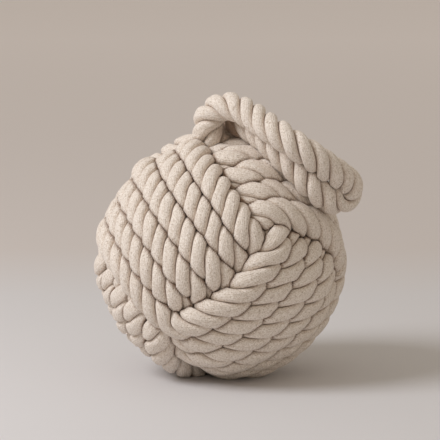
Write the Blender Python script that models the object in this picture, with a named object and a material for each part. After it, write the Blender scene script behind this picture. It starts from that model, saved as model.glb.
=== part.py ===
"""Rope knot doorstop: a monkey's fist worked from one thick cotton rope, with a loop handle.

The rope makes three bands of turns round a ball of sand in a canvas bag. Each band passes
over the two faces that its axis points away from and under the two bands beside it. Both
ends leave the knot at one corner and make the loop handle, which lies on the ball.
Metres, +Z up. The origin is on the floor under the ball's centre.
"""
import math

import bmesh
import bpy
import numpy as np
from mathutils import Euler, Vector

COLLECTION_NAME = "rope_knot_doorstop"
CUTTER_COLLECTION_NAME = "cutters"

# The rope
ROPE_DIAMETER = 0.0194         # loose, as in the handle
ROW_PITCH = 0.0178             # side by side in the knot
CROSSING_THICKNESS = 0.0168    # squeezed, where one strand lies across another
PIECE_GAP = 0.0003
BULGE = 0.0009                 # the knot swells this much past its rows

# The knot
TURNS = 6                      # strands on each face
ROW_SPACING = 0.0180
CORE_RADIUS = 0.0540           # the ball that the rope is worked round
BAG_THICKNESS = 0.0012
KNOT_TILT = (-36.81, -30.02, -127.68)
CENTRE_OF_BALL = (0.0030, -0.0055, 0.0847)  # the origin is under it, on the lowest strand
LOWEST_ROPE_CENTRE = 0.0050    # strands under the ball are pressed flat by its weight

# The knot's corners, in degrees round a band
DIVE_ANGLE = 50.0              # where a strand leaves the outer layer
EDGE_DIVE_DELAY = 2.0
DIVE_HALF_WIDTH = 10.0
DROP_HALF_WIDTH = 30.0         # a hidden stretch moves half a row over this angle, each way
CORNER_CLOSING = 0.16          # how far the outer strands close up at the corners
FIRST_ANGLE = -52.0            # the rope comes up from under the next band here
LAST_ANGLE = 26.0
CORNER_TURN_ANGLE = 38.0
ANGLE_STEP = 3.0
CUT_ANGLE = 270.0              # the turns are parted in a hidden stretch

# The loop handle's route, in ball radii from the ball's centre: right, away and up
HANDLE_FROM_KNOT = (
    (-0.03, -0.02, 0.90), (-0.09, -0.07, 0.96), (-0.10, -0.10, 1.05), (-0.09, -0.12, 1.13),
    (-0.04, -0.16, 1.20), (0.05, -0.22, 1.24), (0.17, -0.32, 1.22), (0.29, -0.44, 1.16),
    (0.40, -0.57, 1.10), (0.52, -0.65, 1.03), (0.64, -0.67, 0.95), (0.75, -0.64, 0.88),
    (0.87, -0.57, 0.78), (0.96, -0.47, 0.71), (1.02, -0.42, 0.64))
HANDLE_TO_KNOT = (
    (1.02, -0.39, 0.58), (0.97, -0.40, 0.52), (0.90, -0.43, 0.51), (0.83, -0.48, 0.56),
    (0.73, -0.53, 0.64), (0.64, -0.53, 0.74), (0.55, -0.49, 0.84), (0.48, -0.45, 0.89),
    (0.37, -0.34, 0.99), (0.27, -0.19, 1.05), (0.18, -0.04, 1.07), (0.10, 0.10, 1.05),
    (0.04, 0.22, 0.99), (0.00, 0.30, 0.91), (-0.05, 0.33, 0.82), (-0.12, 0.28, 0.75),
    (-0.17, 0.19, 0.74))
LOOP_STARTS_AT = 6             # the stiff loop runs from this point of HANDLE_FROM_KNOT
LOOP_ENDS_AT = 8               # to this point of HANDLE_TO_KNOT
LIFT_AXIS = (0.03, -0.25, 1.02)    # a point on the handle's axis, in ball radii
LIFT_AXIS_TURN = -24.8         # the handle lifts about the empty's -Y axis, turned this far

# Settling the rope
POINT_SPACING = 0.004
SETTLING_ROUNDS = 600
TIGHTENING_ROUNDS = 200
FIRST_THICKNESS = 0.45         # the strands swell from this share of their thickness
SETTLING_TENSION = 0.5
TIGHTENING_TENSION = 0.05
CORNER_HOLD = 0.03
FACE_HOLD = 0.001
CORNER_HOLD_LENGTH = 0.048
HANDLE_HOLD = 0.25
HANDLE_EASE = 0.03
ROPE_END_EASE = 0.03
CORNER_SQUEEZE = 0.4
REACH_ALLOWANCE = 0.0015
NEAR_ALONG = 2.2               # points within this many diameters along the rope don't push apart

# The solids
CHORD_TOLERANCE = 0.00035
SAMPLES_PER_SEGMENT = 4
SQUARE_END = 0.0025
FIT_ALLOWANCE = 0.0001
BAG_SEGMENTS = 24
BAG_RINGS = 12
CUTTER_SIZE = 0.3

ROPE_COLOUR = (0.69, 0.60, 0.50, 1.0)
CANVAS_COLOUR = (0.55, 0.47, 0.36, 1.0)
SAND_COLOUR = (0.52, 0.40, 0.25, 1.0)

INNER_REACH = CORE_RADIUS + ROW_PITCH / 2
OUTER_REACH = INNER_REACH + CROSSING_THICKNESS
BALL_RADIUS = OUTER_REACH + ROPE_DIAMETER / 2 + BULGE
KNOT_AXES = np.array(Euler([math.radians(angle) for angle in KNOT_TILT]).to_matrix())
CENTRE = np.array(CENTRE_OF_BALL)


def clear_scene():
    for item in list(bpy.data.objects):
        bpy.data.objects.remove(item)


def new_collection(name):
    collection = bpy.data.collections.new(name)
    bpy.context.scene.collection.children.link(collection)
    return collection


def make_material(name, colour, roughness):
    material = bpy.data.materials.new(name)
    material.use_nodes = True
    shader = material.node_tree.nodes["Principled BSDF"]
    shader.inputs["Base Color"].default_value = colour
    shader.inputs["Roughness"].default_value = roughness
    shader.inputs["Metallic"].default_value = 0.0
    return material


def smooth_step(value):
    value = np.clip(value, 0.0, 1.0)
    return value * value * (3.0 - 2.0 * value)


def band_line(axes, first_angle, last_angle):
    """One band of turns: outside on its two faces, inside between them, half a row on each time."""
    full_turns = 360.0 * (TURNS - 1)
    angles = np.arange(first_angle, full_turns + last_angle + ANGLE_STEP / 2, ANGLE_STEP)
    top_row = (TURNS - 1) / 2.0 * ROW_SPACING
    height = np.full(len(angles), top_row)
    for middle in np.arange(90.0, full_turns, 180.0):
        height -= ROW_SPACING / 2.0 * smooth_step((angles - middle) / (2.0 * DROP_HALF_WIDTH) + 0.5)
    folded = np.degrees(np.arccos(np.clip(np.abs(np.cos(np.radians(angles))), 0.0, 1.0)))
    edge = (height / top_row) ** 2
    corner = np.cos(np.radians(np.clip((folded - 45.0) * 3.0, -90.0, 90.0)))
    height = height * (1.0 - CORNER_CLOSING * corner * edge)
    dive = DIVE_ANGLE + EDGE_DIVE_DELAY * edge
    outside = 1.0 - smooth_step((folded - dive) / (2.0 * DIVE_HALF_WIDTH) + 0.5)
    if first_angle > -45.0:
        outside[angles < 0.0] = 1.0
    outside[angles > full_turns] = 1.0
    reach = INNER_REACH + (OUTER_REACH - INNER_REACH) * outside
    across = np.sqrt(np.maximum(reach ** 2 - height ** 2, 0.0))
    line = np.zeros((len(angles), 3))
    line[:, axes[0]] = across * np.cos(np.radians(angles))
    line[:, axes[1]] = across * np.sin(np.radians(angles))
    line[:, axes[2]] = height
    return line, angles


def stations_of(points):
    steps = np.linalg.norm(np.diff(points, axis=0), axis=1)
    return np.concatenate([[0.0], np.cumsum(steps)])


def point_at(points, stations, wanted):
    return np.stack([np.interp(wanted, stations, points[:, axis]) for axis in range(3)], axis=1)


def smooth_line(points, parts=6):
    """A smooth curve through hand-set points."""
    ends = (2 * points[:1] - points[1:2], points, 2 * points[-1:] - points[-2:-1])
    padded = np.concatenate(ends)
    line = []
    for a, b, c, d in zip(padded, padded[1:], padded[2:], padded[3:]):
        for step in range(parts):
            t = step / parts
            bend = (2 * a - 5 * b + 4 * c - d) * t ** 2 + (3 * b - a - 3 * c + d) * t ** 3
            line.append(0.5 * (2 * b + (c - a) * t + bend))
    line.append(points[-1])
    return np.array(line)


def handle_points(route):
    return np.array(route) * BALL_RADIUS @ KNOT_AXES


def drawn_rope():
    """The whole rope before it settles, from the handle's end through the knot and back."""
    bands = [band_line((0, 1, 2), FIRST_ANGLE, CORNER_TURN_ANGLE),
             band_line((1, 2, 0), -CORNER_TURN_ANGLE, CORNER_TURN_ANGLE),
             band_line((2, 0, 1), -CORNER_TURN_ANGLE, LAST_ANGLE)]
    arriving = handle_points(HANDLE_TO_KNOT)
    leaving = handle_points(HANDLE_FROM_KNOT)
    first = smooth_line(np.concatenate([leaving[-1:], arriving, bands[0][0][:1]]))[:-1]
    last = smooth_line(np.concatenate([bands[2][0][-1:], leaving]))[1:]
    line = np.concatenate([first] + [band[0] for band in bands] + [last])
    stations = stations_of(line)
    marks = {"loop_end": stations[6 * (LOOP_ENDS_AT + 1)],
             "loop_start": stations[len(line) - len(last) + 6 * (LOOP_STARTS_AT + 1) - 1]}
    begin = len(first)
    for name, (points, angles) in zip("ABC", bands):
        marks[name] = (angles, stations[begin:begin + len(points)])
        begin += len(points)
    return line, stations, marks


def push_apart(points, first, second, growth):
    """How far each too close pair of points moves apart: side by side needs more than across."""
    along = np.gradient(points, axis=0)
    along = along / np.linalg.norm(along, axis=1)[:, None]
    offset = points[first] - points[second]
    gap = np.linalg.norm(offset, axis=1)
    sameness = (along[first] * along[second]).sum(axis=1) ** 2
    wanted = growth * (CROSSING_THICKNESS + (ROW_PITCH - CROSSING_THICKNESS) * sameness)
    short = np.maximum(wanted - gap, 0.0)
    push = offset * (short / gap / 2.0)[:, None]
    count = np.bincount(first[short > 0.0], minlength=len(points))
    count = count + np.bincount(second[short > 0.0], minlength=len(points))
    move = np.zeros_like(points)
    for axis in range(3):
        move[:, axis] = np.bincount(first, push[:, axis], len(points))
        move[:, axis] -= np.bincount(second, push[:, axis], len(points))
    return move * (0.9 * np.sqrt(np.clip(count, 1.0, 2.0)) / np.maximum(count, 1.0))[:, None]


def close_pairs(points):
    square = (points ** 2).sum(axis=1)
    distance = square[:, None] + square[None, :] - 2.0 * points @ points.T
    first, second = np.nonzero(distance < (1.25 * ROW_PITCH) ** 2)
    steps = second - first
    steps = np.minimum(steps, len(points) - 1 - steps)
    apart = steps > int(NEAR_ALONG * ROW_PITCH / POINT_SPACING)
    return first[apart], second[apart]


def settle(points, rounds, first_growth, tension, hold, free, pressed, drawn, kept):
    """Swell the strands to their thickness while they push apart, tighten and meet the bag."""
    up = KNOT_AXES[2]
    home = points / np.linalg.norm(points, axis=1)[:, None]
    for turn in range(rounds):
        if turn % 5 == 0:
            points = np.round(points, 9)
            first, second = close_pairs(points)
        growth = min(1.0, first_growth + (1.0 - first_growth) * turn / (0.5 * rounds))
        move = push_apart(points, first, second, growth)
        move[1:-1] += tension * ((points[:-2] + points[2:]) / 2.0 - points[1:-1])
        points = points + move * free[:, None]
        points = points + kept[:, None] * (drawn - points)
        reach = np.linalg.norm(points, axis=1)
        points = points + (hold * free)[:, None] * (home * reach[:, None] - points)
        reach = np.linalg.norm(points, axis=1)
        least = INNER_REACH - ROW_PITCH / 2 * (1.0 - growth)
        proud = np.maximum(reach - OUTER_REACH - REACH_ALLOWANCE, 0.0)
        wanted = np.maximum(reach, least) - CORNER_SQUEEZE * pressed * proud
        points = points * (1.0 + free * (wanted / reach - 1.0))[:, None]
        low = np.maximum(LOWEST_ROPE_CENTRE - CENTRE[2] - points @ up, 0.0)
        points = points + (low * free)[:, None] * up
    return points


def settled_rope():
    """The rope's centre line in the knot's own axes, with the stations that mark its parts."""
    line, stations, marks = drawn_rope()
    count = int(round(stations[-1] / POINT_SPACING))
    place = np.linspace(0.0, stations[-1], count + 1)
    points = point_at(line, stations, place)
    begin = marks["A"][1][0]
    end = marks["C"][1][-1]
    joins = (begin, marks["A"][1][-1], marks["B"][1][-1], end)
    free = np.clip((place - marks["loop_end"]) / ROPE_END_EASE, 0.0, 1.0)
    free = free * np.clip((marks["loop_start"] - place) / ROPE_END_EASE, 0.0, 1.0)
    pressed = np.clip((place - begin) / ROPE_END_EASE - 0.7, 0.0, 1.0)
    pressed = pressed * np.clip((end - place) / ROPE_END_EASE - 0.7, 0.0, 1.0)
    hold = np.full(len(place), FACE_HOLD)
    for join in joins:
        nearness = np.clip(1.5 - np.abs(place - join) / CORNER_HOLD_LENGTH, 0.0, 1.0)
        hold = np.maximum(hold, CORNER_HOLD * nearness)
    in_handle = np.maximum(begin - place, place - end)
    kept = HANDLE_HOLD * np.clip(in_handle / HANDLE_EASE, 0.0, 1.0)
    drawn = points
    points = settle(points, SETTLING_ROUNDS, FIRST_THICKNESS, SETTLING_TENSION, hold, free, pressed,
                    drawn, kept)
    points = settle(points, TIGHTENING_ROUNDS, 1.0, TIGHTENING_TENSION, 0.2 * hold, free, pressed,
                    drawn, kept)
    return points, place, marks


def cut_stations(marks):
    """Where the rope is parted into nodes, in order along it."""
    cuts = [0.0, marks["loop_end"], marks["A"][1][0]]
    for name in "ABC":
        angles, stations = marks[name]
        last_cut = 360.0 * (TURNS - 1)
        if name == "C":
            last_cut -= 360.0
        for angle in np.arange(CUT_ANGLE, last_cut, 360.0):
            cuts.append(float(np.interp(angle, angles, stations)))
    cuts.append(marks["C"][1][-1])
    cuts.append(marks["loop_start"])
    return cuts


def thinned(line):
    """The points of a line that hold its shape: close together only where it bends."""
    kept = [0]
    for index in range(2, len(line)):
        chord = line[index] - line[kept[-1]]
        chord = chord / np.linalg.norm(chord)
        between = line[kept[-1] + 1:index] - line[kept[-1]]
        off = np.linalg.norm(between - (between @ chord)[:, None] * chord, axis=1).max()
        if off > CHORD_TOLERANCE:
            kept.append(index - 1)
    kept.append(len(line) - 1)
    return kept


def tube_line(points, place, start, end):
    """A tube's points, with a short straight end square to the rope at each cut."""
    inset = SQUARE_END if end - start > 2.0 * SQUARE_END else 0.0
    wanted = np.linspace(start + inset, end - inset, int((end - start) / POINT_SPACING * 2) + 2)
    kept = thinned(point_at(points, place, wanted))
    wanted = wanted[kept]
    wanted[0] = start
    wanted[-1] = end
    line = point_at(points, place, wanted)
    length = place[-1]
    for side, station in ((0, start), (-1, end)):
        if 0.0 < station < length:
            inward = 1.0 if side == 0 else -1.0
            around = point_at(points, place, [station - POINT_SPACING / 2, station + POINT_SPACING / 2])
            along = inward * (around[1] - around[0])
            along = along / np.linalg.norm(along)
            cap = line[side] + along * PIECE_GAP / 2
            line[side] = cap + along * SQUARE_END
            wanted[side] = station + inward * (PIECE_GAP / 2 + SQUARE_END)
            spot = 0 if side == 0 else len(wanted)
            line = np.insert(line, spot, cap, axis=0)
            wanted = np.insert(wanted, spot, station + inward * PIECE_GAP / 2)
    return line, wanted


def room_for_rope(lines):
    """The radius that each tube can have at each of its points and stay clear of the others."""
    samples = []
    owners = []
    stations = []
    for number, (points, wanted) in enumerate(lines):
        steps = np.arange((len(wanted) - 1) * SAMPLES_PER_SEGMENT + 1) / SAMPLES_PER_SEGMENT
        fine = np.interp(steps, np.arange(len(wanted)), wanted)
        samples.append(point_at(points, wanted, fine))
        stations.append(fine)
        owners.append(np.full(len(fine), number))
    all_samples = np.concatenate(samples)
    all_stations = np.concatenate(stations)
    radii = []
    for number, (points, wanted) in enumerate(lines):
        distance = np.linalg.norm(samples[number][:, None, :] - all_samples[None, :, :], axis=2)
        along = np.abs(stations[number][:, None] - all_stations[None, :])
        along = np.minimum(along, all_stations.max() - along)
        distance[along < NEAR_ALONG * ROPE_DIAMETER] = np.inf
        nearest = distance.min(axis=1)
        limits = []
        for index in range(len(wanted)):
            around = nearest[max(index - 1, 0) * SAMPLES_PER_SEGMENT:(index + 1) * SAMPLES_PER_SEGMENT + 1]
            limits.append(around.min() / 2.0 - PIECE_GAP / 2.0 - FIT_ALLOWANCE)
        radii.append(np.array(limits))
    return radii


def make_tube(name, points, radii, material, collection):
    curve = bpy.data.curves.new(name, "CURVE")
    curve.dimensions = "3D"
    curve.bevel_depth = 1.0
    curve.bevel_resolution = 2
    curve.resolution_u = 1
    curve.render_resolution_u = 0
    curve.use_fill_caps = True
    spline = curve.splines.new("POLY")
    spline.points.add(len(points) - 1)
    for control, point, radius in zip(spline.points, points, radii):
        control.co = (*point, 1.0)
        control.radius = radius
    tube = bpy.data.objects.new(name + "_curve", curve)
    collection.objects.link(tube)
    bpy.context.view_layer.update()
    evaluated = tube.evaluated_get(bpy.context.evaluated_depsgraph_get())
    mesh = bpy.data.meshes.new_from_object(evaluated)
    welded = bmesh.new()
    welded.from_mesh(mesh)
    bmesh.ops.remove_doubles(welded, verts=welded.verts, dist=0.00001)
    bmesh.ops.recalc_face_normals(welded, faces=welded.faces)
    welded.to_mesh(mesh)
    welded.free()
    mesh.name = name
    mesh.materials.clear()
    mesh.materials.append(material)
    mesh.shade_smooth()
    mesh.set_sharp_from_angle(angle=math.radians(60.0))
    rope = bpy.data.objects.new(name, mesh)
    rope.matrix_world = tube.matrix_world
    collection.objects.link(rope)
    bpy.data.objects.remove(tube)
    return rope


def cut_flat_underneath(rope, floor_cutter):
    lowest = min(vertex.co.z for vertex in rope.data.vertices)
    if lowest < 0.0:
        cut = rope.modifiers.new("floor", "BOOLEAN")
        cut.operation = "DIFFERENCE"
        cut.object = floor_cutter


def make_floor_cutter(collection):
    bpy.ops.mesh.primitive_cube_add(size=CUTTER_SIZE, location=(0.0, 0.0, -CUTTER_SIZE / 2.0))
    cutter = bpy.context.object
    cutter.name = "floor_cutter"
    cutter.hide_render = True
    cutter.display_type = "WIRE"
    for old in list(cutter.users_collection):
        old.objects.unlink(cutter)
    collection.objects.link(cutter)
    return cutter


def room_for_bag(lines, radii):
    """The radius of the ball that just fits inside the rope."""
    room = OUTER_REACH
    for (points, stations), radius in zip(lines, radii):
        fine = np.linspace(0.0, len(points) - 1.0, len(points) * SAMPLES_PER_SEGMENT)
        order = np.arange(len(points))
        reach = np.linalg.norm(point_at(points, order, fine) - CENTRE, axis=1)
        room = min(room, (reach - np.interp(fine, order, radius)).min())
    return room - PIECE_GAP


def make_sand(collection, radius):
    sphere = bmesh.new()
    bmesh.ops.create_uvsphere(sphere, u_segments=BAG_SEGMENTS, v_segments=BAG_RINGS, radius=radius)
    mesh = bpy.data.meshes.new("sand_fill")
    sphere.to_mesh(mesh)
    sphere.free()
    mesh.materials.append(make_material("sand", SAND_COLOUR, 0.95))
    mesh.shade_smooth()
    sand = bpy.data.objects.new("sand_fill", mesh)
    sand.location = CENTRE
    collection.objects.link(sand)


def make_bag_half(name, side, outside, material, collection):
    """Half of the sewn canvas bag: an open bowl turned round its axis, its rim along the seam."""
    profile = []
    for radius, order in ((outside, 1), (outside - BAG_THICKNESS, -1)):
        rim = math.acos(PIECE_GAP / 2.0 / radius)
        arc = [rim * step / (BAG_RINGS // 2) for step in range(BAG_RINGS // 2 + 1)]
        profile += [(radius * math.sin(angle), side * radius * math.cos(angle)) for angle in arc[::order]]
    bowl = bmesh.new()
    verts = [bowl.verts.new((across, 0.0, up)) for across, up in profile]
    edges = [bowl.edges.new(pair) for pair in zip(verts, verts[1:])]
    bmesh.ops.spin(bowl, geom=verts + edges, cent=(0.0, 0.0, 0.0), axis=(0.0, 0.0, 1.0),
                   angle=2.0 * math.pi, steps=BAG_SEGMENTS, use_merge=True)
    bmesh.ops.remove_doubles(bowl, verts=bowl.verts, dist=0.00001)
    bmesh.ops.recalc_face_normals(bowl, faces=bowl.faces)
    mesh = bpy.data.meshes.new(name)
    bowl.to_mesh(mesh)
    bowl.free()
    mesh.materials.append(material)
    mesh.shade_smooth()
    mesh.set_sharp_from_angle(angle=math.radians(60.0))
    half = bpy.data.objects.new(name, mesh)
    half.location = CENTRE
    collection.objects.link(half)


def make_rope(collection, cutters):
    points, place, marks = settled_rope()
    points = points @ KNOT_AXES.T + CENTRE
    cuts = cut_stations(marks)
    middle = len(cuts) - 4
    names = ["handle_loop_end", "handle_neck_back"]
    names += ["rope_turn_%02d" % (number + 1) for number in range(middle)]
    names += ["handle_neck_front", "handle_loop_start"]
    cuts.append(place[-1])
    lines = [tube_line(points, place, start, end) for start, end in zip(cuts, cuts[1:])]
    rooms = room_for_rope(lines)
    material = make_material("rope", ROPE_COLOUR, 0.9)
    floor_cutter = make_floor_cutter(cutters)
    radii = [np.minimum(room, ROPE_DIAMETER / 2.0) for room in rooms]
    for name, (line, stations), radius in list(zip(names, lines, radii))[1:-1]:
        rope = make_tube(name, line, radius, material, collection)
        cut_flat_underneath(rope, floor_cutter)
    loop_line = np.concatenate([lines[-1][0], lines[0][0][1:]])
    loop_radius = np.concatenate([radii[-1], radii[0][1:]])
    loop = make_tube("handle_loop", loop_line, loop_radius, material, collection)
    hang_on_axis(loop, collection)
    return room_for_bag(lines, radii)


def hang_on_axis(loop, collection):
    """Put the loop under an empty on the axis that it lifts about."""
    axis = bpy.data.objects.new("handle_axis", None)
    axis.location = Vector(LIFT_AXIS) * BALL_RADIUS + Vector(CENTRE)
    axis.rotation_euler = (0.0, 0.0, math.radians(LIFT_AXIS_TURN))
    collection.objects.link(axis)
    bpy.context.view_layer.update()
    loop.parent = axis
    loop.matrix_parent_inverse = axis.matrix_world.inverted()


def main():
    clear_scene()
    collection = new_collection(COLLECTION_NAME)
    cutters = new_collection(CUTTER_COLLECTION_NAME)
    bag_radius = make_rope(collection, cutters)
    make_sand(collection, bag_radius - BAG_THICKNESS - PIECE_GAP)
    canvas = make_material("canvas", CANVAS_COLOUR, 0.95)
    make_bag_half("bag_half_lower", -1.0, bag_radius, canvas, collection)
    make_bag_half("bag_half_upper", 1.0, bag_radius, canvas, collection)


main()
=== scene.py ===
"""Looks of the rope knot doorstop: a monkey's fist laid up from one thick cotton rope.

The CAD model is the frame. The rope's route is the one that the solids were made along: it is
drawn band by band and swelled until the strands lie against each other. Then it is dressed with
three twisted strands of soft cotton yarn. Metres, +Z up, origin on the floor under the ball.
"""
import math

import bpy
import numpy as np
from mathutils import Euler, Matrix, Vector


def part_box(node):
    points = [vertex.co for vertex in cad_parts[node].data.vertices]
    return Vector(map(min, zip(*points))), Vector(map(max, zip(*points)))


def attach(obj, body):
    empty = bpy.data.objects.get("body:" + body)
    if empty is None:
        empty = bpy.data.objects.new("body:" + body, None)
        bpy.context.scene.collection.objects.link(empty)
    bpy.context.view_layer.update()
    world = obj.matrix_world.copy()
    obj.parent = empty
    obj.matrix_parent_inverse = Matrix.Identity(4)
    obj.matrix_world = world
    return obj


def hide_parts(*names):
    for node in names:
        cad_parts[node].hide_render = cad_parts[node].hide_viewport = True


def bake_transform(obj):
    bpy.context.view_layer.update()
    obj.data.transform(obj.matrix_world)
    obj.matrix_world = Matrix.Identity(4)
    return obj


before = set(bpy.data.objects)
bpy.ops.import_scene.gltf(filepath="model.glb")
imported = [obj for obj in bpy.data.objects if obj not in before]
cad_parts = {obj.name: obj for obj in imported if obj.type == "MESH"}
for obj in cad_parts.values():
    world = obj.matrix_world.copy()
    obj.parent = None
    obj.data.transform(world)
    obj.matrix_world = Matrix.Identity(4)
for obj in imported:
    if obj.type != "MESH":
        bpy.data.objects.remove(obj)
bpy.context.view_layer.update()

# The rope, as in the solids
ROPE_DIAMETER = 0.0194         # loose, as in the handle
ROW_PITCH = 0.0178             # side by side in the knot
CROSSING_THICKNESS = 0.0168    # squeezed, where one strand lies across another
BULGE = 0.0009                 # the knot swells this much past its rows

# The knot
TURNS = 6                      # strands on each face
ROW_SPACING = 0.0180
CORE_RADIUS = 0.0540           # the ball that the rope is worked round
KNOT_TILT = (-36.81, -30.02, -127.68)
CENTRE_OF_BALL = (0.0030, -0.0055, 0.0847)  # the origin is under it, on the lowest strand
LOWEST_ROPE_CENTRE = 0.0050    # strands under the ball are pressed flat by its weight

# The knot's corners, in degrees round a band
DIVE_ANGLE = 50.0              # where a strand leaves the outer layer
EDGE_DIVE_DELAY = 2.0
DIVE_HALF_WIDTH = 10.0
DROP_HALF_WIDTH = 30.0         # a hidden stretch moves half a row over this angle, each way
CORNER_ANGLE = 45.0            # halfway from one face's middle to the next
CORNER_CLOSING = 0.16          # how far the outer strands close up at the corners
CLOSING_HALF_WIDTH = 30.0      # further from the corner than this, they lie in straight rows
FIRST_ANGLE = -52.0            # the rope comes up from under the next band here
LAST_ANGLE = 26.0
CORNER_TURN_ANGLE = 38.0
ANGLE_STEP = 3.0
CUT_ANGLE = 270.0              # the turns are parted in a hidden stretch

# The loop handle's route, in ball radii from the ball's centre: right, away and up
HANDLE_FROM_KNOT = (
    (-0.03, -0.02, 0.90), (-0.09, -0.07, 0.96), (-0.10, -0.10, 1.05), (-0.09, -0.12, 1.13),
    (-0.04, -0.16, 1.20), (0.05, -0.22, 1.24), (0.17, -0.32, 1.22), (0.29, -0.44, 1.16),
    (0.40, -0.57, 1.10), (0.52, -0.65, 1.03), (0.64, -0.67, 0.95), (0.75, -0.64, 0.88),
    (0.87, -0.57, 0.78), (0.96, -0.47, 0.71), (1.02, -0.42, 0.64))
HANDLE_TO_KNOT = (
    (1.02, -0.39, 0.58), (0.97, -0.40, 0.52), (0.90, -0.43, 0.51), (0.83, -0.48, 0.56),
    (0.73, -0.53, 0.64), (0.64, -0.53, 0.74), (0.55, -0.49, 0.84), (0.48, -0.45, 0.89),
    (0.37, -0.34, 0.99), (0.27, -0.19, 1.05), (0.18, -0.04, 1.07), (0.10, 0.10, 1.05),
    (0.04, 0.22, 0.99), (0.00, 0.30, 0.91), (-0.05, 0.33, 0.82), (-0.12, 0.28, 0.75),
    (-0.17, 0.19, 0.74))
LOOP_STARTS_AT = 6             # the stiff loop runs from this point of HANDLE_FROM_KNOT
LOOP_ENDS_AT = 8               # to this point of HANDLE_TO_KNOT
HANDLE_PARTS = 3               # the loop and its two necks
CURVE_PARTS = 6                # a smooth curve has this many steps from point to point

# Settling the rope
POINT_SPACING = 0.004
SETTLING_ROUNDS = 600
TIGHTENING_ROUNDS = 200
FIRST_THICKNESS = 0.45         # the strands swell from this share of their thickness
SWELLING_SHARE = 0.5           # and are full after this share of the rounds
PUSH_SHARE = 0.9               # of an overlap, undone in one round
PAIRS_KEPT_FOR = 5             # rounds
ROUNDED_PLACES = 9             # so that every machine settles the rope alike
SETTLING_TENSION = 0.5
TIGHTENING_TENSION = 0.05
CORNER_HOLD = 0.03
FACE_HOLD = 0.001
TIGHTENING_HOLD = 0.2          # of the hold while settling
CORNER_HOLD_LENGTH = 0.048
CORNER_HOLD_REACH = 1.5        # the hold is full for half that length, and gone after this many
HANDLE_HOLD = 0.25
HANDLE_EASE = 0.03
ROPE_END_EASE = 0.03
PRESSING_DELAY = 0.7           # of that ease, before the knot's outer strands are pressed in
CORNER_SQUEEZE = 0.4
REACH_ALLOWANCE = 0.0015
NEAR_ALONG = 2.2               # points within this many diameters along the rope don't push apart
NEARBY = 1.25                  # row pitches: pairs further apart are left out

INNER_REACH = CORE_RADIUS + ROW_PITCH / 2
OUTER_REACH = INNER_REACH + CROSSING_THICKNESS
BALL_RADIUS = OUTER_REACH + ROPE_DIAMETER / 2 + BULGE
KNOT_AXES = np.array(Euler([math.radians(angle) for angle in KNOT_TILT]).to_matrix())
CENTRE = np.array(CENTRE_OF_BALL)

# The laid rope as it looks
STRANDS = 3
LAID_DIAMETER = 0.0208         # over the crowns of the strands, in the handle
KNOT_THINNING = 0.930          # the rope is drawn tighter in the knot
SIDE_SPREAD = 0.26             # and squeezed out sideways, flat to the ball
LUMP_IN_HANDLE = 0.0130        # from one strand's crown to the next along the rope
LUMP_IN_BANDS = {"A": 0.0132, "B": 0.0158, "C": 0.0152}
RELIEF_IN_HANDLE = 1.0         # the depth of the lay, against an unworn rope
RELIEF_IN_BANDS = {"A": 1.0, "B": 1.12, "C": 0.92}
FLATNESS_IN_HANDLE = 1.0       # over 1, the crowns are pressed flat and the lay is narrow
FLATNESS_IN_BANDS = {"A": 1.1, "B": 1.5, "C": 1.4}
INTERLOCK_IN_HANDLE = 0.5      # how far crowns sink into the next turn's hollows, 1 is fully
INTERLOCK_IN_BANDS = {"A": 0.10, "B": 0.5, "C": 0.3}
LAY_EASE = 0.08                # the twist changes over this length
STRAND_WIDTH = 1.28            # a strand is this much wider than it is thick
OUTLINE_SAMPLES = 200
RING_SPACING = 0.00125         # of the surface's rings of points, along the rope
POINTS_PER_STRAND = 34
WORN_ROUNDS = 20               # smoothing of the settled line's small kinks
CUT_EDGE_ANGLE = 75.0          # degrees: sharper edges than this are the ends of a piece

# Where turns press each other
CONTACT_GAP = 0.00006          # so that no turn cuts into the next
MEETING_RANGE = 0.0250         # turns further off than this never meet
MEETING_ROUNDS = 9             # halvings, which find the meeting place to about 0.02 mm
LEAST_ROOM = 0.3               # of the wanted reach
MOST_ROOM = 1.35
CONTACT_ROUNDING = 0.0003      # how softly a pressed strand's side turns into its flat
CONTACT_SWELL = 0.0008         # a pressed strand swells beside its flat
CONTACT_SWELL_WIDTH = 0.0040
BEND_ROOM = 0.92               # a strand's inner side fills this share of a bend's radius
GENTLE_BEND = 1.0              # per metre: a gentler bend leaves the strands as they are

# The yarns and the unevenness of a rope laid by hand
YARN_WIDTH = 0.0016            # drawn coarser than the real 1 mm, which is too fine to show
YARN_LEAN = 0.45               # 0 is along the strand, 1 along the rope
YARN_CLIMB = YARN_LEAN * math.pi * LAID_DIAMETER / (STRANDS * LUMP_IN_BANDS["A"])
STRAND_SHIFT = 31.0            # yarn widths from strand to strand, so that none looks like the next
BUNDLE_WIDTH = 0.0042          # the yarns lie in bundles that just show through the fluff
BUNDLE_DEPTH = 0.00020
UNEVEN_TWIST = 0.10            # radians
TWIST_WAVES = 160              # about this many along the rope
TWIST_SEED = 3
UNEVEN_THICKNESS = 0.018
THICKNESS_WAVES = 260
THICKNESS_SEED = 5
WAVES_ADDED = 8
WAVE_START_RANGE = 6.28        # radians, about a full turn

# The painted brown shade in the lay, between pressed turns and under the arch
PAINTED_SHADE_DEPTH = 0.42             # of the rope's radius: as deep as this the painted shade lies thick
SUNK_SHADE_POWER = 4            # the higher, the less painted shade lies further up
PRESSED_SHADE = 0.8             # where turns of the knot press each other
PRESSED_SHADE_POWER = 8
ARCH_MIDDLE = (0.0080, -0.0060, 0.1750)  # under the handle, where it leaves the knot
ARCH_SHADE_REACH = 0.020        # painted shade on the rope round the arch, where the handle shades it
ARCH_SHADE_EDGE = 2.2           # over 1, it lies thick for a way before it thins out
ARCH_SHADE = 0.8                # on the handle's rope, 1 is the most
ARCH_SHADE_LOST_IN_KNOT = 0.5   # the turns under the arch have this much less

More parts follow.
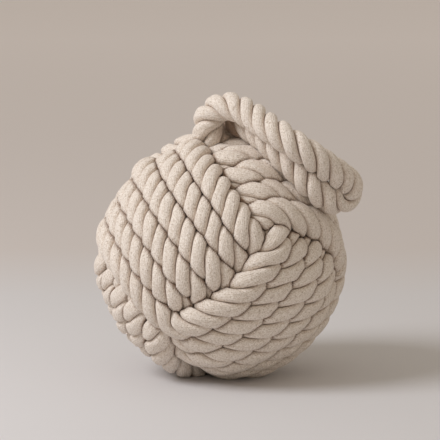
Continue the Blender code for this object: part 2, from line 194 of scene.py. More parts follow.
# The bag of sand inside
BAG_SEGMENTS = 96
BAG_RINGS = 49
SEAM_HALF_WIDTH = 0.0035
SEAM_DEPTH = 0.0009
SEAM_EVENNESS = 0.75           # the rest of the seam's depth comes and goes with the stitches
STITCHES = 48
STITCH_LENGTH = 0.0042
STITCH_LEAN = 0.35
STITCH_SINK = 0.6              # of the seam's depth
STITCH_SEGMENTS = 8
STITCH_RINGS = 6
THREAD_THICKNESS = 0.0007
CANVAS_THREAD_HALF = 0.0008    # half a canvas thread, drawn about twice as wide as real to show

# How fine the materials' patterns are, as repeats to the metre
STRAYS_PER_METRE = 190.0       # a yarn wanders sideways and back in about 5 mm
FLUFF_PER_METRE = 820.0        # tufts of 1.2 mm: single fibres are too fine to show
HUSKS_PER_METRE = 760.0        # flecks of up to 1 mm, coarser than the real half millimetre
BATCHES_PER_METRE = 22.0       # patches of 45 mm where the cotton is a little browner
TWISTS_PER_METRE = 1500.0      # the sewing thread's twist of 0.7 mm
GRAINS_PER_METRE = 900.0       # sand grains of 1.1 mm, coarser than the real half millimetre

# The photograph's view
CAMERA_DISTANCE = 3.0
CAMERA_ELEVATION = 9.5
METRES_PER_PIXEL = 0.000717
PICTURE_SIZE = 440             # pixels each way
BALL_ROW = 257                 # the ball's centre is in this row and the middle column

# The floor and the light
FLOOR_SIZE = 8.0
FLOOR_TONE_DEPTH = 2.1         # the floor's tone changes from the ball to this far behind it
WORLD_STRENGTH = 0.53
LAMP_SIZE = 0.8
LAMP_WATTS = 15.7
LAMP_PLACE = (-1.05, -0.45, 1.10)


def linear(code):
    """An sRGB hex colour as the linear values that the shaders take."""
    shares = [int(code[place:place + 2], 16) / 255.0 for place in (0, 2, 4)]
    return tuple(c / 12.92 if c <= 0.04045 else ((c + 0.055) / 1.055) ** 2.4
                 for c in shares) + (1.0,)


def add_node(tree, kind, inputs=None, **settings):
    """A node with its settings, and with its sockets set or linked."""
    node = tree.nodes.new(kind)
    for name, value in settings.items():
        setattr(node, name, value)
    for name, value in (inputs or {}).items():
        if isinstance(value, bpy.types.NodeSocket):
            tree.links.new(value, node.inputs[name])
        else:
            node.inputs[name].default_value = value
    return node


def new_material(name):
    """A material with its node tree and its shader."""
    material = bpy.data.materials.new(name)
    material.use_nodes = True
    return material, material.node_tree, material.node_tree.nodes["Principled BSDF"]


def rows_of_yarn(tree, place):
    """Round yarns side by side, wandering by about two of their widths: the place across them
    and along them, and how near a yarn's crown that is, from 0 to 1."""
    yarn_map = add_node(tree, "ShaderNodeUVMap", uv_map="yarns")
    apart = add_node(tree, "ShaderNodeSeparateXYZ", {"Vector": yarn_map.outputs["UV"]})
    stray = add_node(tree, "ShaderNodeTexNoise",
                     {"Vector": place, "Scale": STRAYS_PER_METRE, "Detail": 2.0})
    across = add_node(tree, "ShaderNodeMath",
                      {0: stray.outputs["Fac"], 1: 2.2, 2: apart.outputs["X"]},
                      operation="MULTIPLY_ADD")
    one_yarn = add_node(tree, "ShaderNodeMath", {0: across.outputs[0]}, operation="FRACT")
    ridge = add_node(tree, "ShaderNodeMath", {0: one_yarn.outputs[0], 1: 0.5},
                     operation="PINGPONG")
    crown = add_node(tree, "ShaderNodeMapRange",
                     {"Value": ridge.outputs[0], "From Min": 0.0, "From Max": 0.34},
                     interpolation_type="SMOOTHSTEP")
    return across.outputs[0], apart.outputs["Y"], crown.outputs[0]


def fluffy_relief(tree, across, along, crown, fluff):
    """The surface's bumps: round yarns, fibres drawn out along them, and tufts over both."""
    drawn_out = add_node(tree, "ShaderNodeCombineXYZ", {"X": across, "Y": along})
    stretched = add_node(tree, "ShaderNodeMapping",
                         {"Vector": drawn_out.outputs[0], "Scale": (2.6, 0.7, 1.0)})
    fibres = add_node(tree, "ShaderNodeTexNoise",
                      {"Vector": stretched.outputs[0], "Scale": 1.0, "Detail": 4.0,
                       "Roughness": 0.7})
    depth = add_node(tree, "ShaderNodeMath", {0: fibres.outputs["Fac"], 1: 1.2, 2: crown},
                     operation="MULTIPLY_ADD")
    height = add_node(tree, "ShaderNodeMath", {0: fluff, 1: 3.2, 2: depth.outputs[0]},
                      operation="MULTIPLY_ADD")
    bump = add_node(tree, "ShaderNodeBump",
                    {"Strength": 0.5, "Distance": 0.0004, "Height": height.outputs[0]})
    return bump.outputs["Normal"]


def clean_cotton(tree, place, crown, fluff):
    """The colour of clean cotton: cream, with painted shade between the yarns, paler where fluff
    stands up, and flecked with husk."""
    batch = add_node(tree, "ShaderNodeTexNoise",
                     {"Vector": place, "Scale": BATCHES_PER_METRE, "Detail": 2.0})
    tone = add_node(tree, "ShaderNodeMix",
                    {"Factor": batch.outputs["Fac"], "A": linear("E9DCCE"),
                     "B": linear("DBCCBC")}, data_type="RGBA")
    # B39C82 is painted shade between the yarns
    painted_yarn_shade = add_node(tree, "ShaderNodeMapRange", {"Value": crown, "To Min": 0.34, "To Max": 0.0})
    shaded = add_node(tree, "ShaderNodeMix",
                      {"Factor": painted_yarn_shade.outputs[0], "A": tone.outputs["Result"],
                       "B": linear("B39C82")}, data_type="RGBA")
    bloom = add_node(tree, "ShaderNodeMapRange",
                     {"Value": fluff, "From Min": 0.40, "From Max": 0.62,
                      "To Min": 0.0, "To Max": 0.85})
    bloomed = add_node(tree, "ShaderNodeMix",
                       {"Factor": bloom.outputs[0], "A": shaded.outputs["Result"],
                        "B": linear("FBF1E7")}, data_type="RGBA")
    husks = add_node(tree, "ShaderNodeTexNoise",
                     {"Vector": place, "Scale": HUSKS_PER_METRE, "Detail": 1.5})
    fleck = add_node(tree, "ShaderNodeMapRange",
                     {"Value": husks.outputs["Fac"], "From Min": 0.60, "From Max": 0.72,
                      "To Min": 0.0, "To Max": 0.45})
    flecked = add_node(tree, "ShaderNodeMix",
                       {"Factor": fleck.outputs[0], "A": bloomed.outputs["Result"],
                        "B": linear("8F775C")}, data_type="RGBA")
    return flecked.outputs["Result"]


def cotton_rope():
    """Three-strand cotton rope, spun from soft carded yarn: matt and cream, with the yarns only
    just showing through a bloom of loose fibre, flecks of seed husk, and painted brown shade
    down in the lay, between pressed turns and under the arch."""
    material, tree, shader = new_material("cotton_rope")
    place = add_node(tree, "ShaderNodeTexCoord").outputs["Object"]
    across, along, crown = rows_of_yarn(tree, place)
    fluff = add_node(tree, "ShaderNodeTexNoise",
                     {"Vector": place, "Scale": FLUFF_PER_METRE, "Detail": 2.5,
                      "Roughness": 0.75}).outputs["Fac"]
    # each point's painted shade, read from the mesh
    painted_shade = add_node(tree, "ShaderNodeAttribute", attribute_name="painted_shade").outputs["Fac"]
    painted_shade_weight = add_node(tree, "ShaderNodeMapRange", {"Value": painted_shade, "To Min": 0.0, "To Max": 0.85})
    # 855A33 is painted brown shade in the lay, between pressed turns and under the arch
    with_painted_shade = add_node(tree, "ShaderNodeMix",
                     {"Factor": painted_shade_weight.outputs[0], "A": clean_cotton(tree, place, crown, fluff),
                      "B": linear("855A33")}, data_type="RGBA")
    tree.links.new(with_painted_shade.outputs["Result"], shader.inputs["Base Color"])
    tree.links.new(fluffy_relief(tree, across, along, crown, fluff), shader.inputs["Normal"])
    shader.inputs["Roughness"].default_value = 0.95
    shader.inputs["Specular IOR Level"].default_value = 0.15
    shader.inputs["Sheen Weight"].default_value = 0.15
    shader.inputs["Sheen Roughness"].default_value = 0.6
    return material


def cotton_canvas():
    """Unbleached cotton canvas, plain woven: a check of round threads, with painted shade between
    them.
    """
    material, tree, shader = new_material("cotton_canvas")
    place = add_node(tree, "ShaderNodeUVMap", uv_map="threads").outputs["UV"]
    apart = add_node(tree, "ShaderNodeSeparateXYZ", {"Vector": place})
    rounds = []
    for axis in "XY":
        share = add_node(tree, "ShaderNodeMath", {0: apart.outputs[axis], 1: 1.0},
                         operation="PINGPONG")
        rounds.append(add_node(tree, "ShaderNodeMapRange",
                               {"Value": share.outputs[0], "From Min": 0.0, "From Max": 0.8},
                               interpolation_type="SMOOTHSTEP").outputs[0])
    weave = add_node(tree, "ShaderNodeMath", {0: rounds[0], 1: rounds[1]}, operation="MULTIPLY")
    slub = add_node(tree, "ShaderNodeTexNoise", {"Vector": place, "Scale": 0.35, "Detail": 3.0})
    cloth = add_node(tree, "ShaderNodeMix",
                     {"Factor": slub.outputs["Fac"], "A": linear("D5C6AC"),
                      "B": linear("C3B294")}, data_type="RGBA")
    # 8E7B5E is painted shade between the threads
    between = add_node(tree, "ShaderNodeMapRange",
                       {"Value": weave.outputs[0], "To Min": 0.55, "To Max": 0.0})
    shaded = add_node(tree, "ShaderNodeMix",
                      {"Factor": between.outputs[0], "A": cloth.outputs["Result"],
                       "B": linear("8E7B5E")}, data_type="RGBA")
    bump = add_node(tree, "ShaderNodeBump",
                    {"Strength": 0.6, "Distance": 0.0003, "Height": weave.outputs[0]})
    tree.links.new(shaded.outputs["Result"], shader.inputs["Base Color"])
    tree.links.new(bump.outputs["Normal"], shader.inputs["Normal"])
    shader.inputs["Roughness"].default_value = 0.9
    shader.inputs["Specular IOR Level"].default_value = 0.2
    return material


def waxed_thread():
    """Waxed linen sewing thread: brown, with a dull gloss and a fine twist."""
    material, tree, shader = new_material("waxed_thread")
    place = add_node(tree, "ShaderNodeTexCoord").outputs["Object"]
    twist = add_node(tree, "ShaderNodeTexNoise",
                     {"Vector": place, "Scale": TWISTS_PER_METRE, "Detail": 2.0})
    tone = add_node(tree, "ShaderNodeMix",
                    {"Factor": twist.outputs["Fac"], "A": linear("8A6A44"),
                     "B": linear("6C4F30")}, data_type="RGBA")
    bump = add_node(tree, "ShaderNodeBump",
                    {"Strength": 0.3, "Distance": 0.0001, "Height": twist.outputs["Fac"]})
    tree.links.new(tone.outputs["Result"], shader.inputs["Base Color"])
    tree.links.new(bump.outputs["Normal"], shader.inputs["Normal"])
    shader.inputs["Roughness"].default_value = 0.55
    return material


def dry_sand():
    """Dry builder's sand: grains of about a millimetre in mixed tans, with a few glints."""
    material, tree, shader = new_material("dry_sand")
    place = add_node(tree, "ShaderNodeTexCoord").outputs["Object"]
    grains = add_node(tree, "ShaderNodeTexVoronoi", {"Vector": place, "Scale": GRAINS_PER_METRE})
    tone = add_node(tree, "ShaderNodeValToRGB", {"Fac": grains.outputs["Color"]})
    tone.color_ramp.elements[0].color = linear("8F7146")
    tone.color_ramp.elements[1].color = linear("E3CFA4")
    gloss = add_node(tree, "ShaderNodeMapRange",
                     {"Value": grains.outputs["Color"], "To Min": 0.95, "To Max": 0.55})
    bump = add_node(tree, "ShaderNodeBump",
                    {"Strength": 0.8, "Distance": 0.0006, "Height": grains.outputs["Distance"]},
                    invert=True)
    tree.links.new(tone.outputs["Color"], shader.inputs["Base Color"])
    tree.links.new(gloss.outputs[0], shader.inputs["Roughness"])
    tree.links.new(bump.outputs["Normal"], shader.inputs["Normal"])
    return material


def pale_floor():
    """Matt pale paper that turns warmer behind the ball, and then paler."""
    material, tree, shader = new_material("pale_floor")
    place = add_node(tree, "ShaderNodeTexCoord").outputs["Object"]
    apart = add_node(tree, "ShaderNodeSeparateXYZ", {"Vector": place})
    behind = add_node(tree, "ShaderNodeMath", {0: apart.outputs["Y"], 1: FLOOR_TONE_DEPTH},
                      operation="DIVIDE")
    tone = add_node(tree, "ShaderNodeValToRGB", {"Fac": behind.outputs[0]})
    steps = tone.color_ramp.elements
    steps[0].position = 0.15
    steps[0].color = linear("D8D5D5")
    steps[1].position = 1.0
    steps[1].color = linear("F8F1F0")
    middle = steps.new(0.26)
    middle.color = linear("D9D1CD")
    tree.links.new(tone.outputs["Color"], shader.inputs["Base Color"])
    shader.inputs["Roughness"].default_value = 0.8
    shader.inputs["Specular IOR Level"].default_value = 0.2
    return material


def smooth_step(value):
    """0 below 0 and 1 above 1, with a smooth rise between."""
    value = np.clip(value, 0.0, 1.0)
    return value * value * (3.0 - 2.0 * value)


def band_line(axes, first_angle, last_angle):
    """One band of turns: outside on its two faces, inside between them, half a row on each time."""
    full_turns = 360.0 * (TURNS - 1)
    angles = np.arange(first_angle, full_turns + last_angle + ANGLE_STEP / 2, ANGLE_STEP)
    top_row = (TURNS - 1) / 2.0 * ROW_SPACING
    height = np.full(len(angles), top_row)
    for middle in np.arange(90.0, full_turns, 180.0):
        way_down = (angles - middle) / (2.0 * DROP_HALF_WIDTH) + 0.5
        height -= ROW_SPACING / 2.0 * smooth_step(way_down)
    folded = np.degrees(np.arccos(np.clip(np.abs(np.cos(np.radians(angles))), 0.0, 1.0)))
    edge = (height / top_row) ** 2
    from_corner = (folded - CORNER_ANGLE) * (90.0 / CLOSING_HALF_WIDTH)
    corner = np.cos(np.radians(np.clip(from_corner, -90.0, 90.0)))
    height = height * (1.0 - CORNER_CLOSING * corner * edge)
    dive = DIVE_ANGLE + EDGE_DIVE_DELAY * edge
    outside = 1.0 - smooth_step((folded - dive) / (2.0 * DIVE_HALF_WIDTH) + 0.5)
    if first_angle > -CORNER_ANGLE:
        outside[angles < 0.0] = 1.0
    outside[angles > full_turns] = 1.0
    reach = INNER_REACH + (OUTER_REACH - INNER_REACH) * outside
    across = np.sqrt(np.maximum(reach ** 2 - height ** 2, 0.0))
    line = np.zeros((len(angles), 3))
    line[:, axes[0]] = across * np.cos(np.radians(angles))
    line[:, axes[1]] = across * np.sin(np.radians(angles))
    line[:, axes[2]] = height
    return line, angles


def stations_of(points):
    """How far along the line each of its points lies."""
    steps = np.linalg.norm(np.diff(points, axis=0), axis=1)
    return np.concatenate([[0.0], np.cumsum(steps)])


def point_at(points, stations, wanted):
    """The points of a line at the wanted stations."""
    return np.stack([np.interp(wanted, stations, points[:, axis]) for axis in range(3)], axis=1)


def smooth_line(points):
    """A smooth curve through given points."""
    ends = (2 * points[:1] - points[1:2], points, 2 * points[-1:] - points[-2:-1])
    padded = np.concatenate(ends)
    line = []
    for a, b, c, d in zip(padded, padded[1:], padded[2:], padded[3:]):
        for step in range(CURVE_PARTS):
            t = step / CURVE_PARTS
            bend = (2 * a - 5 * b + 4 * c - d) * t ** 2 + (3 * b - a - 3 * c + d) * t ** 3
            line.append(0.5 * (2 * b + (c - a) * t + bend))
    line.append(points[-1])
    return np.array(line)


def handle_points(route):
    """A stretch of the handle's route in metres, in the knot's own axes."""
    return np.array(route) * BALL_RADIUS @ KNOT_AXES


def drawn_rope():
    """The whole rope before it settles, from the handle's end through the knot and back."""
    bands = [band_line((0, 1, 2), FIRST_ANGLE, CORNER_TURN_ANGLE),
             band_line((1, 2, 0), -CORNER_TURN_ANGLE, CORNER_TURN_ANGLE),
             band_line((2, 0, 1), -CORNER_TURN_ANGLE, LAST_ANGLE)]
    arriving = handle_points(HANDLE_TO_KNOT)
    leaving = handle_points(HANDLE_FROM_KNOT)
    first = smooth_line(np.concatenate([leaving[-1:], arriving, bands[0][0][:1]]))[:-1]
    last = smooth_line(np.concatenate([bands[2][0][-1:], leaving]))[1:]
    line = np.concatenate([first] + [band[0] for band in bands] + [last])
    stations = stations_of(line)
    last_begins = len(line) - len(last) - 1
    marks = {"loop_end": stations[CURVE_PARTS * (LOOP_ENDS_AT + 1)],
             "loop_start": stations[last_begins + CURVE_PARTS * (LOOP_STARTS_AT + 1)]}
    begin = len(first)
    for name, (points, angles) in zip("ABC", bands):
        marks[name] = (angles, stations[begin:begin + len(points)])
        begin += len(points)
    return line, stations, marks


def push_apart(points, first, second, growth):
    """How far each too close pair of points moves apart: side by side needs more than across."""
    along = np.gradient(points, axis=0)
    along = along / np.linalg.norm(along, axis=1)[:, None]
    offset = points[first] - points[second]
    gap = np.linalg.norm(offset, axis=1)
    sameness = (along[first] * along[second]).sum(axis=1) ** 2
    wanted = growth * (CROSSING_THICKNESS + (ROW_PITCH - CROSSING_THICKNESS) * sameness)
    short = np.maximum(wanted - gap, 0.0)
    push = offset * (short / gap / 2.0)[:, None]
    count = np.bincount(first[short > 0.0], minlength=len(points))
    count = count + np.bincount(second[short > 0.0], minlength=len(points))
    move = np.zeros_like(points)
    for axis in range(3):
        move[:, axis] = np.bincount(first, push[:, axis], len(points))
        move[:, axis] -= np.bincount(second, push[:, axis], len(points))
    share = PUSH_SHARE * np.sqrt(np.clip(count, 1.0, 2.0)) / np.maximum(count, 1.0)
    return move * share[:, None]


def close_pairs(points):
    """The pairs of points that may touch, leaving out those that are near along the rope."""
    square = (points ** 2).sum(axis=1)
    distance = square[:, None] + square[None, :] - 2.0 * points @ points.T
    first, second = np.nonzero(distance < (NEARBY * ROW_PITCH) ** 2)
    steps = second - first
    steps = np.minimum(steps, len(points) - 1 - steps)
    apart = steps > int(NEAR_ALONG * ROW_PITCH / POINT_SPACING)
    return first[apart], second[apart]


def settle(points, rounds, first_growth, tension, hold, free, pressed, drawn, kept):
    """Swell the strands to their thickness while they push apart, tighten and meet the bag."""
    up = KNOT_AXES[2]
    home = points / np.linalg.norm(points, axis=1)[:, None]
    for turn in range(rounds):
        if turn % PAIRS_KEPT_FOR == 0:
            points = np.round(points, ROUNDED_PLACES)
            first, second = close_pairs(points)
        growth = first_growth + (1.0 - first_growth) * turn / (SWELLING_SHARE * rounds)
        growth = min(1.0, growth)
        move = push_apart(points, first, second, growth)
        move[1:-1] += tension * ((points[:-2] + points[2:]) / 2.0 - points[1:-1])
        points = points + move * free[:, None]
        points = points + kept[:, None] * (drawn - points)
        reach = np.linalg.norm(points, axis=1)
        points = points + (hold * free)[:, None] * (home * reach[:, None] - points)
        reach = np.linalg.norm(points, axis=1)
        least = INNER_REACH - ROW_PITCH / 2 * (1.0 - growth)
        proud = np.maximum(reach - OUTER_REACH - REACH_ALLOWANCE, 0.0)
        wanted = np.maximum(reach, least) - CORNER_SQUEEZE * pressed * proud
        points = points * (1.0 + free * (wanted / reach - 1.0))[:, None]
        low = np.maximum(LOWEST_ROPE_CENTRE - CENTRE[2] - points @ up, 0.0)
        points = points + (low * free)[:, None] * up
    return points


def settled_rope():
    """The rope's centre line in the knot's own axes, with the stations that mark its parts."""
    line, stations, marks = drawn_rope()
    count = int(round(stations[-1] / POINT_SPACING))
    place = np.linspace(0.0, stations[-1], count + 1)
    drawn = point_at(line, stations, place)
    begin = marks["A"][1][0]
    end = marks["C"][1][-1]
    joins = (begin, marks["A"][1][-1], marks["B"][1][-1], end)
    free = np.clip((place - marks["loop_end"]) / ROPE_END_EASE, 0.0, 1.0)
    free = free * np.clip((marks["loop_start"] - place) / ROPE_END_EASE, 0.0, 1.0)
    pressed = np.clip((place - begin) / ROPE_END_EASE - PRESSING_DELAY, 0.0, 1.0)
    pressed = pressed * np.clip((end - place) / ROPE_END_EASE - PRESSING_DELAY, 0.0, 1.0)
    hold = np.full(len(place), FACE_HOLD)
    for join in joins:
        nearness = CORNER_HOLD_REACH - np.abs(place - join) / CORNER_HOLD_LENGTH
        hold = np.maximum(hold, CORNER_HOLD * np.clip(nearness, 0.0, 1.0))
    in_handle = np.maximum(begin - place, place - end)
    kept = HANDLE_HOLD * np.clip(in_handle / HANDLE_EASE, 0.0, 1.0)
    points = settle(drawn, SETTLING_ROUNDS, FIRST_THICKNESS, SETTLING_TENSION, hold,
                    free, pressed, drawn, kept)
    points = settle(points, TIGHTENING_ROUNDS, 1.0, TIGHTENING_TENSION, TIGHTENING_HOLD * hold,
                    free, pressed, drawn, kept)
    return points, place, marks


def cut_stations(marks):
    """Where the rope is parted into nodes, in order along it."""
    cuts = [marks["loop_end"], marks["A"][1][0]]
    for name in "ABC":
        angles, stations = marks[name]
        last_cut = 360.0 * (TURNS - 1)
        if name == "C":
            last_cut -= 360.0  # the short end of the last band stays with its last turn
        for angle in np.arange(CUT_ANGLE, last_cut, 360.0):
            cuts.append(float(np.interp(angle, angles, stations)))
    cuts.append(marks["C"][1][-1])
    cuts.append(marks["loop_start"])
    return cuts


def rope_axis(points, place):
    """The rope's middle line in even steps all the way round, with each step's station."""
    true_stations = stations_of(points)
    length = true_stations[-1]
    count = int(round(length / RING_SPACING))
    wanted = np.arange(count) * length / count
    axis = point_at(points, true_stations, wanted)
    for _ in range(WORN_ROUNDS):
        axis = (np.roll(axis, 1, axis=0) + 2.0 * axis + np.roll(axis, -1, axis=0)) / 4.0
    return axis, np.interp(wanted, true_stations, place), length


def wander(count, waves, seed):
    """A smooth uneven value between about -1 and 1 along the closed rope."""
    chance = np.random.default_rng(seed)
    turn = 2.0 * np.pi * np.arange(count) / count
    total = np.zeros(count)
    for _ in range(WAVES_ADDED):
        turns = turn * chance.integers(waves // 2, waves * 2)
        total += np.sin(turns + chance.uniform(0.0, WAVE_START_RANGE))
    return total / (WAVES_ADDED / 2.0)


def along_rope(stations, marks, in_handle, in_bands):
    """A value that eases from the handle's to each band's own along the rope."""
    places = [marks["A"][1][0] - LAY_EASE, marks["A"][1][0]]
    values = [in_handle, in_bands["A"]]
    for before, after in ("AB", "BC"):
        places += [marks[before][1][-1] - LAY_EASE / 2.0, marks[after][1][0] + LAY_EASE / 2.0]
        values += [in_bands[before], in_bands[after]]
    places += [marks["C"][1][-1], marks["C"][1][-1] + LAY_EASE]
    values += [in_bands["C"], in_handle]
    return np.interp(stations, places, values)


def rope_frames(axis, length, lumps):
    """The rope's direction at each step, two directions square to it that aren't twisted, and
    how far its strands have turned. The turns come out whole where the closed rope meets itself."""
    along = np.roll(axis, -1, axis=0) - np.roll(axis, 1, axis=0)
    along = along / np.linalg.norm(along, axis=1)[:, None]
    side = np.zeros_like(axis)
    current = np.cross(along[0], (0.0, 0.0, 1.0))
    for number in range(len(axis) + 1):
        direction = along[number % len(axis)]
        current = current - (current @ direction) * direction
        current = current / np.linalg.norm(current)
        if number < len(axis):
            side[number] = current
    other = np.cross(along, side)
    closing = math.atan2(current @ other[0], current @ side[0])
    twist = 2.0 * math.pi * length / len(axis) / (STRANDS * lumps)
    whole_turns = round((twist.sum() + closing) / (2.0 * math.pi))
    twist = twist * (2.0 * math.pi * whole_turns - closing) / twist.sum()
    return along, side, other, np.concatenate([[0.0], np.cumsum(twist)[:-1]])


def strand_outline():
    """The laid rope's outline over one strand: angle, share of the rope's radius, and the way
    round the strand in metres. Each strand is an oval pressed against its neighbours."""
    radial = 1.0 / (1.0 + 1.0 / math.sin(math.pi / STRANDS))
    middle = 1.0 - radial
    wide = radial * STRAND_WIDTH
    half = math.pi / STRANDS
    angles = np.linspace(-half, half, OUTLINE_SAMPLES)
    cos, sin = np.cos(angles), np.sin(angles)
    square = cos ** 2 / radial ** 2 + sin ** 2 / wide ** 2
    slope = middle * cos / radial ** 2
    rest = middle ** 2 / radial ** 2 - 1.0
    share = (slope + np.sqrt(slope ** 2 - square * rest)) / square
    line = np.stack([share * cos, share * sin], axis=1) * LAID_DIAMETER / 2.0
    way = stations_of(line)
    even = np.linspace(0.0, way[-1], POINTS_PER_STRAND + 1)
    return np.interp(even, way, angles), np.interp(even, way, share), even - way[-1] / 2.0


def wanted_reach(rope, numbers, directions, lay=1.0):
    """How far the rope would reach from its middle line, at these rings and in these directions,
    if nothing pressed on it. Lay is the share of the lay's depth that counts."""
    angles, shares, _ = rope["outline"]
    turn = np.arctan2((directions * rope["other"][numbers]).sum(axis=1),
                      (directions * rope["side"][numbers]).sum(axis=1))
    half = math.pi / STRANDS
    turn = (turn - rope["phase"][numbers] + half) % (2.0 * half) - half
    depth = (1.0 - np.interp(turn, angles, shares)) / (1.0 - shares.min())
    depth = (1.0 - shares.min()) * depth ** rope["flatness"][numbers]
    worn = 1.0 - lay * rope["relief"][numbers] * depth
    sideways = 1.0 - (directions * rope["outward"][numbers]).sum(axis=1) ** 2
    spread = 1.0 + SIDE_SPREAD * rope["in_knot"][numbers] * sideways
    return worn * spread * rope["thickness"][numbers] * LAID_DIAMETER / 2.0


def rings_nearby(axis, number):
    """The rings of other turns that are near enough to meet this ring."""
    distance = np.linalg.norm(axis - axis[number], axis=1)
    steps = np.abs(np.arange(len(axis)) - number)
    steps = np.minimum(steps, len(axis) - steps)
    apart = steps * RING_SPACING > NEAR_ALONG * ROPE_DIAMETER
    return np.nonzero(apart & (distance < MEETING_RANGE))[0]


def room_round(rope, number, directions):
    """How far the surface may go in each direction before it meets another turn, and how far
    that turn is the knot's: 1, or 0 in the handle. They meet where both have used up the same
    share of their reach, so that a crown sinks into a hollow."""
    axis = rope["axis"]
    interlock = rope["interlock"]
    near = rings_nearby(axis, number)
    numbers = np.full(len(directions), number)
    mine = wanted_reach(rope, numbers, directions, interlock[number])
    if not len(near):
        return MOST_ROOM * mine, np.zeros(len(directions))
    others = axis[near]
    others_square = (others ** 2).sum(axis=1)
    least, most = LEAST_ROOM * mine, MOST_ROOM * mine
    for _ in range(MEETING_ROUNDS):
        reach = (least + most) / 2.0
        spots = axis[number] + directions * reach[:, None]
        nearest = (others_square - 2.0 * spots @ others.T).argmin(axis=1)
        from_other = spots - others[nearest]
        away = np.linalg.norm(from_other, axis=1)
        ring = near[nearest]
        theirs = wanted_reach(rope, ring, from_other / away[:, None], interlock[ring])
        free = reach * theirs < away * mine
        least = np.where(free, reach, least)
        most = np.where(free, most, reach)
    return least, rope["in_knot"][ring]


def swelled_beside(wanted, room):
    """The wanted reach of a strand that is pressed, which swells towards its flat."""
    closeness = np.clip(1.0 - (room - wanted) / CONTACT_SWELL_WIDTH, 0.0, 1.0)
    return wanted + CONTACT_SWELL * closeness ** 2


def pressed_flat(wanted, room):
    """The lesser of the two, with a soft turn from one into the other."""
    mix = np.clip(0.5 + 0.5 * (room - wanted) / CONTACT_ROUNDING, 0.0, 1.0)
    return room + (wanted - room) * mix - CONTACT_ROUNDING * mix * (1.0 - mix)


def painted_shade_on_ring(rope, number, ring, wanted, room, by_knot):
    """How thick painted brown shade lies at each point of a ring: deep in the lay, where turns of
    the knot press each other, and round the arch under the handle."""
    crown = rope["thickness"][number] * LAID_DIAMETER / 2.0
    in_knot = rope["in_knot"][number]
    # painted shade where turns of the knot press each other
    pressed = np.clip(1.0 - (room - wanted) / (PAINTED_SHADE_DEPTH * crown), 0.0, 1.0)
    pressed = pressed * by_knot * in_knot
    # painted shade deep in the lay between the strands
    sunk = np.clip((1.0 - wanted / crown) / PAINTED_SHADE_DEPTH, 0.0, 1.0)
    in_lay = np.maximum(PRESSED_SHADE * pressed ** PRESSED_SHADE_POWER, sunk ** SUNK_SHADE_POWER)
    # painted shade round the arch under the handle
    far = np.linalg.norm(np.array(ARCH_MIDDLE) - ring, axis=1)
    in_arch = np.clip(ARCH_SHADE_EDGE - ARCH_SHADE_EDGE * far / ARCH_SHADE_REACH, 0.0, 1.0)
    in_arch *= ARCH_SHADE - ARCH_SHADE_LOST_IN_KNOT * in_knot
    return np.maximum(in_lay, in_arch)


def bundle_dips(rope):
    """How far the surface dips between the bundles of yarn, which climb round each strand."""
    _, _, way = rope["outline"]
    count = len(rope["axis"])
    climbs = round(YARN_CLIMB * rope["length"] / BUNDLE_WIDTH)
    rise = climbs * np.arange(count) / count
    turn = 2.0 * math.pi * (np.tile(way[:-1], STRANDS)[None, :] / BUNDLE_WIDTH + rise[:, None])
    return BUNDLE_DEPTH * (0.5 - 0.5 * np.cos(turn))


def laid_rope(points, place, marks):
    """The rope's middle line ring by ring, with how its strands lie and how thick it is."""
    axis, stations, length = rope_axis(points, place)
    lumps = along_rope(stations, marks, LUMP_IN_HANDLE, LUMP_IN_BANDS)
    along, side, other, phase = rope_frames(axis, length, lumps)
    begin, end = marks["A"][1][0], marks["C"][1][-1]
    in_knot = np.interp(stations, [begin - LAY_EASE, begin, end, end + LAY_EASE],
                        [0.0, 1.0, 1.0, 0.0])
    uneven = 1.0 + UNEVEN_THICKNESS * wander(len(axis), THICKNESS_WAVES, THICKNESS_SEED)
    bend = np.roll(along, -1, axis=0) - np.roll(along, 1, axis=0)
    return {"axis": axis, "stations": stations, "length": length, "side": side, "other": other,
            "phase": phase + UNEVEN_TWIST * wander(len(axis), TWIST_WAVES, TWIST_SEED),
            "outline": strand_outline(),
            "in_knot": in_knot,
            "thickness": uneven * (1.0 + (KNOT_THINNING - 1.0) * in_knot),
            "relief": along_rope(stations, marks, RELIEF_IN_HANDLE, RELIEF_IN_BANDS),
            "flatness": along_rope(stations, marks, FLATNESS_IN_HANDLE, FLATNESS_IN_BANDS),
            "interlock": along_rope(stations, marks, INTERLOCK_IN_HANDLE, INTERLOCK_IN_BANDS),
            "outward": (axis - CENTRE) / np.linalg.norm(axis - CENTRE, axis=1)[:, None],
            "bend": bend / (2.0 * length / len(axis))}


def radius_of_bag():
    """The radius of the bag's solids, whose upper half ends straight over the ball's centre."""
    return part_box("bag_half_upper")[1][2] - CENTRE[2]


def kept_outside(rings):
    """The rings with no point in the bag or under the floor."""
    from_centre = rings - CENTRE
    reach = np.linalg.norm(from_centre, axis=2)
    least = radius_of_bag() + CONTACT_GAP
    on_bag = CENTRE + from_centre * (least / reach)[:, :, None]
    rings = np.where((reach < least)[:, :, None], on_bag, rings)
    rings[:, :, 2] = np.maximum(rings[:, :, 2], 0.0)
    return rings


def rope_surface(rope):
    """Rings of points on the laid rope's surface, and how thick the painted shade lies at each
    point.
    """
    axis = rope["axis"]
    angles, _, _ = rope["outline"]
    turned = np.concatenate([angles[:-1] + 2.0 * math.pi * strand / STRANDS
                             for strand in range(STRANDS)])
    dips = bundle_dips(rope)
    rings = np.zeros((len(axis), len(turned), 3))
    painted_shade = np.zeros((len(axis), len(turned)))
    for number in range(len(axis)):
        angle = turned + rope["phase"][number]
        directions = np.outer(np.cos(angle), rope["side"][number])
        directions += np.outer(np.sin(angle), rope["other"][number])
        wanted = wanted_reach(rope, np.full(len(turned), number), directions)
        room, by_knot = room_round(rope, number, directions)
        bend_room = BEND_ROOM / np.maximum(directions @ rope["bend"][number], GENTLE_BEND)
        room = np.minimum(room - CONTACT_GAP, bend_room)
        wanted = swelled_beside(wanted, room)
        reach = pressed_flat(wanted, room) - dips[number]
        rings[number] = axis[number] + directions * reach[:, None]
        painted_shade[number] = painted_shade_on_ring(rope, number, rings[number], wanted, room, by_knot)
    return kept_outside(rings), painted_shade


